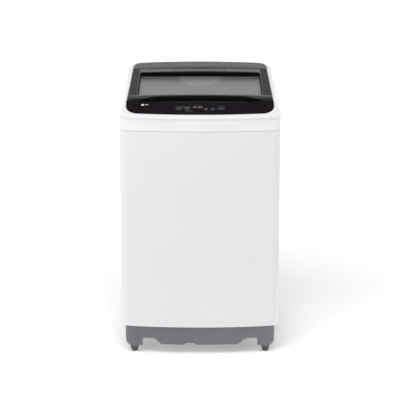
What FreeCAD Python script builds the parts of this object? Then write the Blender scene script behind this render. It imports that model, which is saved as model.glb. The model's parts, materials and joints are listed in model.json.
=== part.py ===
"""Top load washing machine: cabinet, top deck, lid, controls, hanging tub, drum, pulsator and direct drive.

Frame: millimetres, +Z up, front of the machine towards -Y, origin on the floor under the middle of the cabinet.
"""

import math
import os

import FreeCAD
import Part

os.makedirs("parts", exist_ok=True)
V = FreeCAD.Vector
X_AXIS, Y_AXIS, Z_AXIS = V(1, 0, 0), V(0, 1, 0), V(0, 0, 1)

# ---------------------------------------------------------------- driving dimensions
WIDTH = 540.0
DEPTH = 540.0
HALF_W = WIDTH / 2
FRONT_Y = -DEPTH / 2
REAR_Y = DEPTH / 2
FRONT_BOW = 22.0            # how far the front bulges between the side walls
CORNER_R = 28.0             # upright front corners

BASE_TOP = 103.0            # the cabinet stands on the base here
CABINET_TOP = 794.0
SHEET = 1.0                 # cabinet steel
SKIRT_Z = 795.0             # lower edge of the top cover
GROOVE_Z = 835.0            # shadow groove under the deck's nose

BLACK_HALF = 248.0          # half width of the control panel
LID_HALF = (246.0, 239.0)   # half width of the lid at its front and rear edges
LID_FRONT_Y = -165.0
LID_REAR_Y = 195.0
LID_SIDE_Z = 889.7          # lid's upper surface at its front corners
LID_SLOPE = 0.055
LID_CROWN = (1.5, 6.5)      # how far the upper surface arches at its front and rear edges
LID_RIM_DEPTH = 18.0        # from the upper surface down to the lid's lower edge
LID_SET_BACK = 14.0         # the lid's front edge curves back this far in the middle
LID_CORNER_R = 13.0
LID_EDGE_R = 8.0            # rounding of the lid's upper edge, front and sides
POCKET_DEPTH = 30.0         # from the lid's upper surface to the deck floor under it
HINGE_Y, HINGE_Z = 178.0, 897.0
NOSE_R = 18.0               # the lid's rear edge is round about the hinge
EAR_X = 218.0               # hinge ears stand at this distance from the middle
WINDOW_HALF = 212.0
WINDOW_Y = (-138.0, 146.0)
PANE_DEPTH = 13.0           # the pane lies this far under the lid's side edges

PANEL_FRONT_Y = -254.0
PANEL_REAR_Y = -168.0
PANEL_FRONT_Z = 846.0       # panel's upper surface at its front edge, at the sides
PANEL_SLOPE = 0.375
PANEL_CROWN = 5.0
PANEL_PROUD = 1.2           # height of the panel over the white deck
GRIP_DEPTH_Y = 22.0         # how far the grip cuts into the panel at mid width
GRIP_REAR_Y = -160.0
GRIP_FLOOR_Z = 844.0

REAR_COVER_Y = (199.0, 266.0)
REAR_COVER_Z = 910.6
REAR_COVER_SLOPE = 0.12
REAR_COVER_CROWN = 6.5
REAR_COVER_HALF = 239.0
SHOULDER_Z = (849.0, 873.0) # the deck's sides lean inwards between these heights
RIM_INSET = 13.0            # and stand this much narrower above them

MOUTH_R = 152.0             # round end of the deck's funnel
MOUTH_Z = 790.0
TUB_R = 236.0
TUB_FLOOR_Z = 296.0
TUB_TOP_Z = 766.0
DRUM_R = 220.0
DRUM_Z = (345.0, 735.0)
RING_INNER_R = 172.0
SPIN_TUBE_R = 17.5
DRIVE_SHAFT_R = 11.0
ROD_XY = (212.0, 205.0)     # hanging rods stand at these offsets in each corner
FOOT_XY = (227.0, 217.0)
POD_Z = 22.0                # lower end of the plinth's pods
RUN = 0.05                  # radial clearance of a running fit
PIN_R = 3.0                 # lid hinge pins


# ---------------------------------------------------------------- small shape helpers
def box(x0, x1, y0, y1, z0, z1):
    return Part.makeBox(x1 - x0, y1 - y0, z1 - z0, V(x0, y0, z0))


def cyl(radius, z0, z1, x=0.0, y=0.0):
    return Part.makeCylinder(radius, z1 - z0, V(x, y, z0))


def ring(outer, inner, z0, z1, x=0.0, y=0.0):
    return cyl(outer, z0, z1, x, y).cut(cyl(inner, z0 - 1, z1 + 1, x, y))


def fuse(shapes):
    first, rest = shapes[0], shapes[1:]
    return first.fuse(rest).removeSplitter() if rest else first


def polygon(points):
    return Part.makePolygon(points + [points[0]])


def revolve(profile, x=0.0, y=0.0):
    """Solid of revolution about the upright line at x, y from (radius, z) points."""
    face = Part.Face(polygon([V(r, 0, z) for r, z in profile]))
    solid = face.revolve(V(0, 0, 0), Z_AXIS, 360)
    solid.translate(V(x, y, 0))
    return solid


def prism_yz(points, x0, x1):
    """Solid with the given (y, z) outline between two X planes."""
    face = Part.Face(polygon([V(x0, y, z) for y, z in points]))
    return face.extrude(V(x1 - x0, 0, 0))


def prism_xz(points, y0, y1):
    """Solid with the given (x, z) outline between two Y planes."""
    face = Part.Face(polygon([V(x, y0, z) for x, z in points]))
    return face.extrude(V(0, y1 - y0, 0))


def arc(a, b, c):
    return Part.Arc(a, b, c).toShape()


def bowed_outline(half, y_front, bow, y_rear, r_front, r_rear, z):
    """Closed wire: bulging front arc, rounded corners, straight sides and back."""
    big = (half * half + bow * bow) / (2 * bow)
    cy = y_front + big
    fx = half - r_front
    fy = cy - math.sqrt((big - r_front) ** 2 - fx * fx)
    lean = math.atan2(fx, cy - fy)
    tx, ty = big * math.sin(lean), cy - big * math.cos(lean)
    mid = (lean + math.pi / 2) / 2
    mx, my = fx + r_front * math.sin(mid), fy - r_front * math.cos(mid)
    d = r_rear * (1 - math.sqrt(0.5))

    def p(x, y):
        return V(x, y, z)

    edges = [
        arc(p(-tx, ty), p(0, y_front), p(tx, ty)),
        arc(p(tx, ty), p(mx, my), p(half, fy)),
        Part.makeLine(p(half, fy), p(half, y_rear - r_rear)),
        arc(p(half, y_rear - r_rear), p(half - d, y_rear - d), p(half - r_rear, y_rear)),
        Part.makeLine(p(half - r_rear, y_rear), p(-half + r_rear, y_rear)),
        arc(p(-half + r_rear, y_rear), p(-half + d, y_rear - d), p(-half, y_rear - r_rear)),
        Part.makeLine(p(-half, y_rear - r_rear), p(-half, fy)),
        arc(p(-half, fy), p(-mx, my), p(-tx, ty)),
    ]
    return Part.Wire(edges)


def bowed_prism(half, y_front, bow, y_rear, r_front, r_rear, z0, z1):
    wire = bowed_outline(half, y_front, bow, y_rear, r_front, r_rear, z0)
    return Part.Face(wire).extrude(V(0, 0, z1 - z0))


def rounded_rect(x0, x1, y0, y1, r, z):
    d = r * (1 - math.sqrt(0.5))

    def p(x, y):
        return V(x, y, z)

    edges = [
        Part.makeLine(p(x0 + r, y0), p(x1 - r, y0)),
        arc(p(x1 - r, y0), p(x1 - d, y0 + d), p(x1, y0 + r)),
        Part.makeLine(p(x1, y0 + r), p(x1, y1 - r)),
        arc(p(x1, y1 - r), p(x1 - d, y1 - d), p(x1 - r, y1)),
        Part.makeLine(p(x1 - r, y1), p(x0 + r, y1)),
        arc(p(x0 + r, y1), p(x0 + d, y1 - d), p(x0, y1 - r)),
        Part.makeLine(p(x0, y1 - r), p(x0, y0 + r)),
        arc(p(x0, y0 + r), p(x0 + d, y0 + d), p(x0 + r, y0)),
    ]
    return Part.Wire(edges)


def rounded_block(x0, x1, y0, y1, r, z0, z1):
    return Part.Face(rounded_rect(x0, x1, y0, y1, r, z0)).extrude(V(0, 0, z1 - z0))


def crown_at(x, crown):
    """Height at x of an arched surface over its edges at BLACK_HALF."""
    big = (BLACK_HALF ** 2 + crown * crown) / (2 * crown)
    return math.sqrt(big * big - x * x) - (big - crown)


def crowned_slab(y0, z0, y1, z1, crown, thickness):
    """Wide slab that climbs from y0, z0 to y1, z1, with an arched upper side and a flat lower one."""
    half = HALF_W + 10
    edge = z0 + crown_at(half, crown)
    a, b, c = V(-half, y0, edge), V(0, y0, z0 + crown), V(half, y0, edge)
    d, e = V(half, y0, z0 - thickness), V(-half, y0, z0 - thickness)
    wire = Part.Wire([arc(a, b, c), Part.makeLine(c, d), Part.makeLine(d, e), Part.makeLine(e, a)])
    return Part.Face(wire).extrude(V(0, y1 - y0, z1 - z0))


def lid_slab(y0, y1, thickness):
    """Slab under the lid's upper surface, whose arch grows from front to rear."""
    half = HALF_W + 10
    sections = []
    for y in (y0, y1):
        z, crown = lid_z(y), lid_crown(y)
        drop = crown_at(half, crown)
        a, b, c = V(-half, y, z + drop), V(0, y, z + crown), V(half, y, z + drop)
        d, e = V(half, y, z - thickness), V(-half, y, z - thickness)
        sections.append(Part.Wire([arc(a, b, c), Part.makeLine(c, d), Part.makeLine(d, e), Part.makeLine(e, a)]))
    return Part.makeLoft(sections, True, True)


def middle_of(edge):
    return edge.valueAt((edge.FirstParameter + edge.LastParameter) / 2)


def try_fillet(shape, radii, wanted):
    """Rounds the edges that wanted() picks with the first radius that the kernel can make."""
    edges = [e for e in shape.Edges if wanted(e)]
    for radius in radii:
        try:
            rounded = shape.makeFillet(radius, edges)
        except Exception:
            continue
        if rounded.isValid() and 0.8 * shape.Volume < rounded.Volume < shape.Volume:
            return rounded
    print("left sharp:", wanted.__name__, len(edges))
    return shape


def lid_z(y):
    """Height of the lid's upper surface at its side edges."""
    return LID_SIDE_Z + LID_SLOPE * (y - LID_FRONT_Y)


def lid_crown(y):
    front, rear = LID_CROWN
    return front + (rear - front) * (y - LID_FRONT_Y) / (LID_REAR_Y - LID_FRONT_Y)


def lid_half(y):
    """Half width of the lid at y: it narrows towards the rear."""
    front, rear = LID_HALF
    return front + (rear - front) * (y - LID_FRONT_Y) / (LID_REAR_Y - LID_FRONT_Y)


def panel_z(y):
    """Height of the control panel's upper surface at its side edges."""
    return PANEL_FRONT_Z + PANEL_SLOPE * (y - PANEL_FRONT_Y)


def rear_z(y):
    return REAR_COVER_Z + REAR_COVER_SLOPE * (y - REAR_COVER_Y[0])


def corners(x, y):
    return [(-x, -y), (x, -y), (-x, y), (x, y)]


# ---------------------------------------------------------------- base and feet
def base_frame():
    """Grey moulded plinth: drafted wall, ledge for the cabinet, a pod over each foot and the front's low scoop."""
    wall, low_z, draft = 4.0, 28.0, 5.0

    def skin(inset):
        top = bowed_outline(258 - inset, -260 + inset, 20, 256 - inset, 30 - inset, 22 - inset, BASE_TOP)
        low = bowed_outline(258 - draft - inset, -260 + draft + inset, 20, 256 - draft - inset,
                            30 - inset, 22 - inset, low_z)
        return Part.makeLoft([low, top], True, True)

    outer, inner = skin(0), skin(wall)
    frame = outer.cut(inner)
    ledge = outer.common(box(-300, 300, -300, 300, 96, BASE_TOP))
    ledge = ledge.cut(rounded_block(-222, 222, -222, 222, 40, 90, 110))
    pods = []
    for x, y in corners(*FOOT_XY):
        pod = revolve([(0, POD_Z), (17, POD_Z), (24, 27), (29.5, 36), (31, 48), (31, 97), (0, 97)], x, y)
        keep = bowed_prism(258, -260, 20, 256, 30, 22, 0, BASE_TOP)
        pods.append(pod.common(keep))
    frame = fuse([frame, ledge] + pods)
    arch_z, scoop_z, notch_z = 56.0, 34.0, 40.0
    front = [(-198, 0), (-198, arch_z), (-161, arch_z), (-149, 49), (-138, 37), (-130, scoop_z), (-56, scoop_z),
             (-50, notch_z), (-20, notch_z), (-13, scoop_z), (128, scoop_z), (138, 37), (149, 49), (161, arch_z),
             (198, arch_z), (198, 0)]
    frame = frame.cut(prism_xz(front, -290, -150))
    frame = frame.cut(prism_xz([(-190, 0), (-178, arch_z), (178, arch_z), (190, 0)], 150, 290))
    side = prism_yz([(-180, 0), (-168, arch_z), (168, arch_z), (180, 0)], -290, 290)
    frame = frame.cut(side)
    for x, y in corners(*FOOT_XY):
        frame = frame.cut(cyl(5.1, 10, 72, x, y))
    return frame.cut(drain_bore(17.2))


def leveling_foot(x, y):
    """Tapered rubber foot with a grip groove and its threaded stud."""
    top = POD_Z - 0.3
    foot = revolve([(0, 0), (9.5, 0), (11, 1.5), (11.5, 6), (10.8, 6.6), (10.8, 8), (12, 8.6), (15.5, top - 2),
                    (15.5, top), (0, top)], x, y)
    return foot.fuse(cyl(5.0, top - 2, 62, x, y)).removeSplitter()


# ---------------------------------------------------------------- cabinet
def cabinet():
    """Folded steel wrap: bowed front, both sides, narrow back flanges and turned-in edges."""
    outer = bowed_prism(HALF_W, FRONT_Y, FRONT_BOW, 262, CORNER_R, 10, BASE_TOP, CABINET_TOP)
    inner = bowed_prism(HALF_W - SHEET, FRONT_Y + SHEET, FRONT_BOW, 261, CORNER_R - SHEET, 9,
                        BASE_TOP + SHEET, CABINET_TOP - SHEET)
    hole = bowed_prism(HALF_W - 14, FRONT_Y + 14, FRONT_BOW, 250, CORNER_R - 8, 8, BASE_TOP - 5, CABINET_TOP + 5)
    shell = outer.cut(inner).cut(hole)
    return shell.cut(box(-236, 236, 250, 270, BASE_TOP + 20, CABINET_TOP - 20))


def back_panel():
    """Pressed rear cover with a raised field, screwed over the cabinet's back flanges."""
    plate = box(-262, 262, 262, 263, BASE_TOP + 2, CABINET_TOP - 2)
    field = rounded_block(-225, 225, 140, 740, 18, 0, 4.5)
    field.rotate(V(0, 0, 0), X_AXIS, 90)
    field.translate(V(0, 267, 0))
    hollow = rounded_block(-224, 224, 141, 739, 17, 0, 4.6)
    hollow.rotate(V(0, 0, 0), X_AXIS, 90)
    hollow.translate(V(0, 266, 0))
    plate = plate.fuse(field).cut(hollow)
    plate = plate.cut(box(-223, 223, 261, 263.5, 142, 738))
    gland = Part.makeCylinder(9.2, 20, V(190, 255, 700), Y_AXIS)
    slots = [rounded_slot(x, 180, 60) for x in range(-60, 61, 20)]
    return plate.removeSplitter().cut([gland] + slots)


def rounded_slot(x, z, length):
    """Upright vent slot through the back panel."""
    slot = rounded_block(x - 3, x + 3, z, z + length, 2.9, 0, 20)
    slot.rotate(V(0, 0, 0), X_AXIS, 90)
    slot.translate(V(0, 275, 0))
    return slot


def cable_gland():
    """Rubber grommet where the mains lead would enter."""
    flange = Part.makeCylinder(12, 2, V(190, 267, 700), Y_AXIS)
    neck = Part.makeCylinder(9, 5, V(190, 262, 700), Y_AXIS)
    return flange.fuse(neck).cut(Part.makeCylinder(4, 20, V(190, 255, 700), Y_AXIS))


# ---------------------------------------------------------------- top cover
def deck_z(y):
    """Height of the white deck's upper surface at its side edges: steep in front, flatter from the lid on."""
    bend_z = panel_z(PANEL_REAR_Y) - PANEL_PROUD
    if y <= PANEL_REAR_Y:
        return panel_z(y) - PANEL_PROUD
    rear = REAR_Y + 5
    share = (y - PANEL_REAR_Y) / (rear - PANEL_REAR_Y)
    return bend_z + share * (lid_z(rear) - 5 - bend_z)


def deck_solid(drop):
    """Everything under the deck's upper surface, lowered by drop."""
    y0, bend, y1 = FRONT_Y - 5, PANEL_REAR_Y, REAR_Y + 5
    front = crowned_slab(y0, deck_z(y0) - drop, bend, deck_z(bend) - drop, PANEL_CROWN, 130)
    rear = crowned_slab(bend, deck_z(bend) - drop, y1, deck_z(y1) - drop, PANEL_CROWN, 130)
    return front.fuse(rear)


def funnel(grow, z0, z1):
    """Mouth of the deck: a rounded rectangle at the top that turns into a circle over the drum."""
    r = MOUTH_R + grow
    low = rounded_rect(-r, r, -r, r, r - 0.6, z0)
    high = rounded_rect(-200 - grow, 200 + grow, -148 - grow, 154 + grow, 62 + grow, z1)
    return Part.makeLoft([low, high], True, True)


def floor_under_lid():
    """Everything above the deck floor inside the lid's outline."""
    y0, y1 = LID_FRONT_Y - 3, REAR_COVER_Y[1] + 5
    floor = [(y0, lid_z(y0) - POCKET_DEPTH), (y1, lid_z(y1) - POCKET_DEPTH), (y1, 960), (y0, 960)]
    space = prism_yz(floor, -300, 300)
    gap = 1.5
    y_a, y_b = LID_FRONT_Y - 3, REAR_COVER_Y[0] - 1
    wide, narrow = lid_half(y_a) + gap, REAR_COVER_HALF + gap
    plan = polygon([V(-wide, y_a, 700), V(wide, y_a, 700), V(narrow, y_b, 700), V(-narrow, y_b, 700)])
    front = Part.Face(plan).extrude(V(0, 0, 300))
    rear = rounded_block(-narrow, narrow, 0, REAR_COVER_Y[1] + 0.5, 31, 700, 1000)
    return space.common(front.fuse(rear))


def grip_prism(grow, z0, z1):
    """Lens-shaped space between lid and panel where fingers lift the lid."""
    y_side, y_mid = PANEL_REAR_Y - 1 - grow, PANEL_REAR_Y - GRIP_DEPTH_Y - grow
    half, y_rear = 236 + grow, GRIP_REAR_Y + grow
    a, b, c = V(-half, y_side, z0), V(0, y_mid, z0), V(half, y_side, z0)
    d, e = V(half, y_rear, z0), V(-half, y_rear, z0)
    wire = Part.Wire([arc(a, b, c), Part.makeLine(c, d), Part.makeLine(d, e), Part.makeLine(e, a)])
    return Part.Face(wire).extrude(V(0, 0, z1 - z0))


def leaning_block(inset, z0):
    """Body of the deck above the groove: upright at first, then leaning inwards, then upright again."""
    levels = [(z0, 0.0, 0.0), (SHOULDER_Z[0], 0.0, 0.0), (SHOULDER_Z[1], RIM_INSET, 2.0), (950, RIM_INSET + 1.5, 3.0)]
    wires = [
        bowed_outline(HALF_W - inset - side, FRONT_Y + inset + side, FRONT_BOW, REAR_Y - inset - back,
                      CORNER_R - inset, 20 - inset, z)
        for z, side, back in levels
    ]
    return Part.makeLoft(wires, True, True)


def top_cover():
    """White deck moulding: skirt, shadow groove, leaning rim, funnel, pocket under the lid and seat for the panel."""
    skirt = bowed_prism(HALF_W, FRONT_Y, FRONT_BOW, REAR_Y, CORNER_R, 20, SKIRT_Z, GROOVE_Z)
    neck = bowed_prism(HALF_W - 2, FRONT_Y + 2, FRONT_BOW, REAR_Y - 2, CORNER_R - 2, 18, GROOVE_Z - 1, GROOVE_Z + 3)
    rim = leaning_block(0.0, GROOVE_Z + 2).common(deck_solid(0))
    rim = try_fillet(rim, (6.0, 4.0, 2.5), is_deck_rim)
    block = fuse([skirt, neck, rim])
    hollow = bowed_prism(HALF_W - 4, FRONT_Y + 4, FRONT_BOW, REAR_Y - 4, CORNER_R - 4, 16, 780, GROOVE_Z - 2)
    hollow = hollow.fuse(leaning_block(4.5, GROOVE_Z - 3)).common(prism_yz(hollow_profile(), -300, 300))
    funnel_skin = funnel(3.0, MOUTH_Z, 900).common(deck_solid(3))
    cover = block.cut(hollow).fuse(funnel_skin)
    cover = cover.cut(floor_under_lid()).cut(funnel(0.0, MOUTH_Z, 900))
    cover = cover.cut(grip_prism(0.2, GRIP_FLOOR_Z - 2.2, 920)).cut(panel_seat())
    cover = cover.cut([controls_cutout(), drawer_cutout(), valve_cutout()])
    return cover.removeSplitter()


def panel_seat():
    """Shallow step that the control panel lies in."""
    outline = bowed_prism(BLACK_HALF + 0.4, PANEL_FRONT_Y - 0.4, 18, PANEL_REAR_Y + 5, 44.4, 1, 800, 920)
    y0, y1 = PANEL_FRONT_Y - 10, PANEL_REAR_Y + 10
    under = prism_yz([(y0, panel_z(y0) - 4.2), (y1, panel_z(y1) - 4.2), (y1, 960), (y0, 960)], -300, 300)
    return outline.common(under)


def hollow_profile():
    """Underside of the deck seen from the side, a wall's thickness below each upper surface."""
    y0, y1 = FRONT_Y - 5, REAR_Y + 5
    wall = 3.5
    front, rear = PANEL_REAR_Y - GRIP_DEPTH_Y - 8, GRIP_REAR_Y + 6
    grip_z = GRIP_FLOOR_Z - 2.2 - wall
    floor = POCKET_DEPTH + wall
    return [
        (y0, 770), (y0, panel_z(y0) - 4.2 - wall), (front, panel_z(front) - 4.2 - wall), (front, grip_z),
        (rear, grip_z), (rear, lid_z(rear) - floor), (y1, lid_z(y1) - floor), (y1, 770),
    ]


def is_deck_rim(edge):
    """True for the long upper edges of the deck's front, sides and back."""
    point = middle_of(edge)
    on_top = abs(point.z - deck_z(point.y) - crown_at(point.x, PANEL_CROWN)) < 1.0
    outside = abs(point.x) > HALF_W - 25 or abs(point.y) > HALF_W - 15
    return on_top and outside and edge.Length > 5


BOARD_Y = -225.0            # the circuit board lies under this line of the panel


def controls_cutout():
    return box(-96, 96, BOARD_Y - 12, BOARD_Y + 18.5, 800, 900)


# ---------------------------------------------------------------- control panel
def control_panel():
    """Black fascia with its button holes and display opening."""
    y0, y1 = PANEL_FRONT_Y - 10, PANEL_REAR_Y + 10
    slab = crowned_slab(y0, panel_z(y0), y1, panel_z(y1), PANEL_CROWN, 4.0)
    slab = slab.common(bowed_prism(BLACK_HALF, PANEL_FRONT_Y, 18, PANEL_REAR_Y + 0.5, 44, 1, 800, 920))
    slab = slab.cut(grip_prism(0.0, 780, 930))
    holes = [button_shape(name, 0.4, -20, 20) for name in BUTTONS]
    holes.append(on_panel(rounded_block(-21, 21, -7.5, 7.5, 2, -20, 20), *DISPLAY_XY))
    return slab.cut(holes)


DISPLAY_XY = (-9.0, -212.0)


def on_panel(shape, x, y):
    """Turns a shape made around the origin so that it stands on the panel at x, y."""
    shape.rotate(V(0, 0, 0), X_AXIS, math.degrees(math.atan(PANEL_SLOPE)))
    shape.translate(V(x, y, panel_z(y) + crown_at(x, PANEL_CROWN)))
    return shape


BUTTONS = {
    # name: (x, y, half width, half height, corner radius)
    "power_button": (-70.0, -221.0, 12.5, 9.0, 8.9),
    "program_button": (-43.0, -226.0, 10.0, 5.0, 4.9),
    "spin_button": (20.0, -226.0, 9.0, 5.0, 4.9),
    "water_level_button": (42.0, -226.0, 9.0, 5.0, 4.9),
    "start_pause_button": (70.0, -221.0, 13.5, 9.0, 8.9),
}
BUTTON_PROUD = 0.8


def button_shape(name, grow, z0, z1):
    x, y, hx, hy, r = BUTTONS[name]
    block = rounded_block(-hx - grow, hx + grow, -hy - grow, hy + grow, r + grow, z0, z1)
    return on_panel(block, x, y)


def button(name):
    """Key cap with a slightly domed edge, a retaining flange under the fascia and a plunger."""
    x, y, hx, hy, r = BUTTONS[name]
    cap = rounded_block(-hx, hx, -hy, hy, r, -11, BUTTON_PROUD)
    cap = try_fillet(cap, (0.5, 0.3), lambda e: e.BoundBox.ZMin > BUTTON_PROUD - 0.1)
    flange = rounded_block(-hx - 1, hx + 1, -hy - 1, hy + 1, r + 0.9, -12.5, -11)
    plunger = cyl(2.0, -15, -12.5)
    return on_panel(fuse([cap, flange, plunger]), x, y)


def display_window():
    """Smoked lens over the time display."""
    return on_panel(rounded_block(-20.8, 20.8, -7.3, 7.3, 1.8, -2.5, 0.0), *DISPLAY_XY)


def grip_liner():
    """Black tray behind the panel that the fingers reach into."""
    outer = grip_prism(0.0, GRIP_FLOOR_Z - 2, 900)
    inner = grip_prism(-2.0, GRIP_FLOOR_Z, 910)
    tray = outer.cut(inner).cut(box(-300, 300, GRIP_REAR_Y - 2.5, GRIP_REAR_Y + 5, GRIP_FLOOR_Z, 920))
    y0, y1 = -300.0, -140.0
    below_panel = prism_yz([(y0, 700), (y0, panel_z(y0) - 4.2), (y1, panel_z(y1) - 4.2), (y1, 700)], -300, 300)
    y0 = LID_FRONT_Y - 1.5
    lid_space = prism_yz([(y0, lid_z(y0) - 24), (y1, lid_z(y1) - 24), (y1, 940), (y0, 940)], -300, 300)
    return tray.common(below_panel).cut(lid_space)


def control_housing():
    """Tray under the deck that carries the circuit board behind the buttons."""
    outer = box(-110, 110, -18, 18, -28, -13.2)
    inner = box(-107.5, 107.5, -15.5, 15.5, -25.5, 0)
    posts = [cyl(3, -26, -21.8, x, y) for x, y in corners(100, 11)]
    return on_panel(fuse([outer.cut(inner)] + posts), 0, BOARD_Y)


def control_board():
    """Main circuit board with display block, relay, capacitor and one switch under each button."""
    top = -20.0
    parts = [box(-105, 105, -15, 15, top - 1.6, top), box(86, 103, -6, 6, top, -13.6),
             cyl(6, top, -13.6, -96, 0), box(-60, -34, 9, 14, top, -15)]
    for x, y, _, _, _ in BUTTONS.values():
        along = (y - BOARD_Y) / math.cos(math.atan(PANEL_SLOPE))
        parts.append(box(x - 3, x + 3, along - 3, along + 3, top, -17))
    x, y = DISPLAY_XY
    along = (y - BOARD_Y) / math.cos(math.atan(PANEL_SLOPE))
    parts.append(box(x - 19, x + 19, min(along, 9) - 6, min(along, 9) + 6, top, -9.5))
    return on_panel(fuse(parts), 0, BOARD_Y)


# ---------------------------------------------------------------- lid
def lid_frame():
    """Black lid frame: arched top, concave grip edge, deep window recess and hinge nose."""
    slab = lid_slab(LID_FRONT_Y - 5, LID_REAR_Y + 5, LID_RIM_DEPTH)
    slab = slab.common(Part.Face(lid_outline(0.0, 700)).extrude(V(0, 0, 300)))
    nose = cyl_x(NOSE_R, -260, 260, HINGE_Y, HINGE_Z)
    slab = slab.common(fuse([box(-260, 260, -300, HINGE_Y, 800, 960), nose]))
    slab = try_fillet(slab, (LID_EDGE_R, 6.0, 4.0), is_lid_rim)
    y0, y1 = -200.0, HINGE_Y - 12
    top = PANE_DEPTH
    under = prism_yz([(y0, 800), (y0, lid_z(y0) - top), (y1, lid_z(y1) - top), (y1, 800)], -300, 300)
    slab = slab.cut(under.common(Part.Face(lid_outline(4.0, 700)).extrude(V(0, 0, 300))))
    slab = slab.cut(rounded_block(-WINDOW_HALF, WINDOW_HALF, *WINDOW_Y, 9, 700, 1000))
    ear_slots = [box(x - 7.5, x + 7.5, HINGE_Y - 7.5, 200, 850, HINGE_Z + 7.5) for x in (-EAR_X, EAR_X)]
    pin_holes = [cyl_x(PIN_R, x - 17.5, x + 17.5, HINGE_Y, HINGE_Z) for x in (-EAR_X, EAR_X)]
    return slab.cut(ear_slots + pin_holes + [bumper_stem(side) for side in (-1, 1)])


def lid_outline(inset, z):
    """Plan of the lid: straight sides and back, front edge set back in the middle for the fingers."""
    front = LID_FRONT_Y + inset
    half, rear_half = lid_half(front) - inset, lid_half(LID_REAR_Y) - inset
    r = LID_CORNER_R
    side = lid_half(front + r) - inset

    def p(x, y):
        return V(x, y, z)

    d = r * (1 - math.sqrt(0.5))
    grip_half = 228.0
    back = LID_SET_BACK
    edges = [
        Part.makeLine(p(-half + r, front), p(-grip_half, front)),
        arc(p(-grip_half, front), p(0, front + back), p(grip_half, front)),
        Part.makeLine(p(grip_half, front), p(half - r, front)),
        arc(p(half - r, front), p(half - d, front + d), p(side, front + r)),
        Part.makeLine(p(side, front + r), p(rear_half, LID_REAR_Y)),
        Part.makeLine(p(rear_half, LID_REAR_Y), p(-rear_half, LID_REAR_Y)),
        Part.makeLine(p(-rear_half, LID_REAR_Y), p(-side, front + r)),
        arc(p(-side, front + r), p(-half + d, front + d), p(-half + r, front)),
    ]
    return Part.Wire(edges)


def is_on_lid(point):
    """True for a point on the lid's arched upper surface."""
    return abs(point.z - lid_z(point.y) - crown_at(point.x, lid_crown(point.y))) < 0.5


def is_lid_rim(edge):
    """True for the front upper edges; the rounding runs on round the corners and along both sides."""
    point = middle_of(edge)
    return is_on_lid(point) and point.y < LID_FRONT_Y + 25


def cyl_x(radius, x0, x1, y, z):
    return Part.makeCylinder(radius, x1 - x0, V(x0, y, z), X_AXIS)


def tilted_plate(x0, x1, y0, y1, r, up, thickness):
    """Plate parallel to the lid, with its upper side at the given depth below the lid's side edge."""
    y_a, y_b = y0 - 30, y1 + 30
    slab = prism_yz([(y_a, lid_z(y_a) - up), (y_b, lid_z(y_b) - up), (y_b, lid_z(y_b) - up - thickness),
                     (y_a, lid_z(y_a) - up - thickness)], x0, x1)
    return slab.common(rounded_block(x0, x1, y0, y1, r, 700, 1000))


def lid_window():
    """Smoked window pane under the frame."""
    y0, y1 = WINDOW_Y[0] - 7, HINGE_Y - 19
    return tilted_plate(-WINDOW_HALF - 7, WINDOW_HALF + 7, y0, y1, 10, PANE_DEPTH, 3.0)


def lid_inner_frame():
    """Lower frame that clamps the pane."""
    outer = tilted_plate(-WINDOW_HALF - 9, WINDOW_HALF + 9, WINDOW_Y[0] - 8, HINGE_Y - 19, 12, PANE_DEPTH + 3, 3.5)
    hole = rounded_block(-WINDOW_HALF + 4, WINDOW_HALF - 4, WINDOW_Y[0] + 4, WINDOW_Y[1] - 12, 10, 700, 1000)
    return outer.cut(hole)


BUMPER_XY = (232.0, -110.0)


def bumper_stem(side):
    x, y = side * BUMPER_XY[0], BUMPER_XY[1]
    return cyl(2.5, lid_z(y) - PANE_DEPTH - 3, lid_z(y) - 6, x, y)


def lid_bumpers():
    """Rubber buffers on which the closed lid rests."""
    pads = []
    for side in (-1, 1):
        x, y = side * BUMPER_XY[0], BUMPER_XY[1]
        pad = cyl(5.5, lid_z(y) - POCKET_DEPTH + 0.8, lid_z(y) - PANE_DEPTH - 0.6, x, y)
        pads.append(fuse([pad, bumper_stem(side)]))
    return Part.Compound(pads)


def lid_magnet():
    """Magnet that tells the reed switch that the lid is shut."""
    y = -60.0
    return box(228, 234, y - 12, y + 12, lid_z(y - 12) - PANE_DEPTH - 5, lid_z(y - 12) - PANE_DEPTH - 0.1)


def reed_switch():
    """Lid switch under the deck."""
    y = -60.0
    top = lid_z(y - 16) - POCKET_DEPTH - 4.2
    return box(222, 242, y - 16, y + 16, top - 9, top)


def hinge_pins():
    return Part.Compound([cyl_x(PIN_R, x - 17, x + 17, HINGE_Y, HINGE_Z) for x in (-EAR_X, EAR_X)])


def hinge_ears():
    """Steel ears on the deck that carry the lid's pins."""
    ears = []
    for x in (-EAR_X, EAR_X):
        foot_z = lid_z(HINGE_Y) - POCKET_DEPTH - 2
        ear = fuse([box(x - 6, x + 6, HINGE_Y - 4, HINGE_Y + 4, foot_z, HINGE_Z),
                    cyl_x(6.0, x - 6, x + 6, HINGE_Y, HINGE_Z)])
        ears.append(ear.cut(floor_wedge()).cut(cyl_x(PIN_R + RUN, x - 10, x + 10, HINGE_Y, HINGE_Z)))
    return Part.Compound(ears)


def floor_wedge():
    """Material of the deck floor, used to trim what stands on it."""
    y0, y1 = -165, 266
    return prism_yz([(y0, lid_z(y0) - POCKET_DEPTH), (y1, lid_z(y1) - POCKET_DEPTH), (y1, 700), (y0, 700)],
                    -260, 260)


def rear_cover():
    """Black cover behind the lid, over the water inlet."""
    y0, y1 = REAR_COVER_Y[0] - 10, REAR_COVER_Y[1] + 10

    def skin(inset):
        slab = crowned_slab(y0, rear_z(y0) - inset, y1, rear_z(y1) - inset, REAR_COVER_CROWN, 80)
        return slab.common(Part.Face(rear_outline(inset, 800)).extrude(V(0, 0, 160)))

    outer = try_fillet(skin(0), (5.0, 3.0, 2.0), is_rear_rim)
    return outer.cut(skin(2.5)).cut(floor_wedge())


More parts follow.
